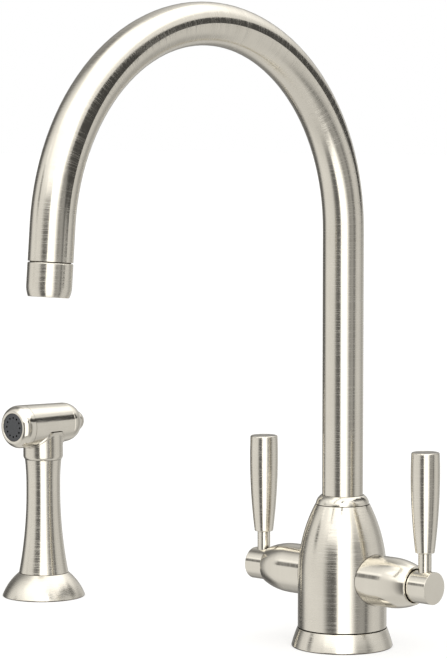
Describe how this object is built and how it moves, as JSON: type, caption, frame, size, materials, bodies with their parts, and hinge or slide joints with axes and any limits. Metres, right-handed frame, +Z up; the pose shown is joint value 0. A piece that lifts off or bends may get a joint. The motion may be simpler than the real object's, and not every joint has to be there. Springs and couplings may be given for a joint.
{
  "type": "pre rinse faucet",
  "caption": "Deck-mounted kitchen mixer faucet with a tall swivelling C-spout, lever handles and a separate hand-held rinse spray that stands in its own holder.",
  "frame": {"origin": "mixer's vertical axis at the deck surface that both flanges stand on, which is the mouth of the central rinse-hose port", "axes": "+Z up along the mixer's axis; the spout reaches towards -Y; the cold lever is at +X; the hot lever and the hand spray are at -X"},
  "size_m": [0.322, 0.2562, 0.3434],
  "materials": {
    "satin_nickel": "brushed satin nickel plate",
    "bare_brass": "machined",
    "seal_rubber": "moulded, matt",
    "ceramic": "lapped",
    "acetal": "moulded",
    "spray_face_plastic": "moulded, fine matt",
    "spring_steel": "drawn wire",
    "screw_steel": "plain"
  },
  "bodies": {
    "mixer": {"base_ring": "satin_nickel", "base_seal": "seal_rubber", "mixer_body": "satin_nickel", "spout_collar": "satin_nickel", "upper_glide_ring": "acetal", "lower_thrust_ring": "acetal", "diverter_body": "bare_brass", "diverter_spring": "spring_steel", "cold_arm_housing": "satin_nickel", "cold_seat_seal": "seal_rubber", "cold_fixed_disc": "ceramic", "cold_cartridge_body": "bare_brass", "cold_cartridge_nut": "bare_brass", "hot_arm_housing": "satin_nickel", "hot_seat_seal": "seal_rubber", "hot_fixed_disc": "ceramic", "hot_cartridge_body": "bare_brass", "hot_cartridge_nut": "bare_brass", "spray_holder": "satin_nickel", "holder_liner": "acetal", "holder_seal": "seal_rubber"},
    "spout": {"spout_tube": "satin_nickel", "spout_spigot": "bare_brass", "spout_o_rings": "seal_rubber", "spout_nipple": "bare_brass", "outlet_sleeve": "satin_nickel", "aerator_washer": "seal_rubber", "aerator_insert": "acetal"},
    "cold_lever": {"cold_turning_disc": "ceramic", "cold_spindle": "bare_brass", "cold_spindle_o_ring": "seal_rubber", "cold_lever_hub": "satin_nickel", "cold_hub_screw": "screw_steel", "cold_lever_stem": "satin_nickel", "cold_lever_grip": "satin_nickel"},
    "hot_lever": {"hot_turning_disc": "ceramic", "hot_spindle": "bare_brass", "hot_spindle_o_ring": "seal_rubber", "hot_lever_hub": "satin_nickel", "hot_hub_screw": "screw_steel", "hot_lever_stem": "satin_nickel", "hot_lever_grip": "satin_nickel"},
    "diverter": {"diverter_piston": "acetal"},
    "spray_tail": {"hose_connector": "bare_brass", "connector_o_ring": "seal_rubber"},
    "handset": {"spray_grip": "satin_nickel", "connector_clip": "spring_steel", "spray_neck": "satin_nickel", "head_barrel": "satin_nickel", "spray_bezel": "satin_nickel", "spray_face": "spray_face_plastic", "rear_cap": "satin_nickel", "valve_seat": "bare_brass", "stem_seal": "seal_rubber", "valve_spring": "spring_steel"},
    "spray_trigger": {"spray_button": "satin_nickel", "valve_stem": "bare_brass", "poppet_seal": "seal_rubber"}
  },
  "joints": [
    {"name": "spout_swivel", "type": "hinge", "parent": "mixer", "child": "spout", "pos_m": [0, 0, 0.07], "axis": [0, 0, 1], "continuous": true},
    {"name": "cold_lever_turn", "type": "hinge", "parent": "mixer", "child": "cold_lever", "pos_m": [0.0572, 0, 0.0385], "axis": [1, 0, 0], "range_deg": [0, 90]},
    {"name": "hot_lever_turn", "type": "hinge", "parent": "mixer", "child": "hot_lever", "pos_m": [-0.0572, 0, 0.0385], "axis": [1, 0, 0], "range_deg": [0, 90]},
    {"name": "diverter_slide", "type": "slide", "parent": "mixer", "child": "diverter", "axis": [0, 0, -1], "range_m": [0, 0.0015], "stiffness_N_per_m": 150, "springref_m": -0.002, "deforming": ["diverter_spring"]},
    {"name": "spray_lift", "type": "slide", "parent": "mixer", "child": "spray_tail", "axis": [0, 0, 1], "range_m": [0, 0.25]},
    {"name": "spray_turn", "type": "hinge", "parent": "spray_tail", "child": "handset", "pos_m": [-0.2326, -0.0025, 0.02], "axis": [0, 0, 1], "continuous": true},
    {"name": "spray_button_press", "type": "slide", "parent": "handset", "child": "spray_trigger", "axis": [0, -1, 0], "range_m": [0, 0.003], "stiffness_N_per_m": 700, "springref_m": -0.004, "deforming": ["valve_spring"]}
  ]
}
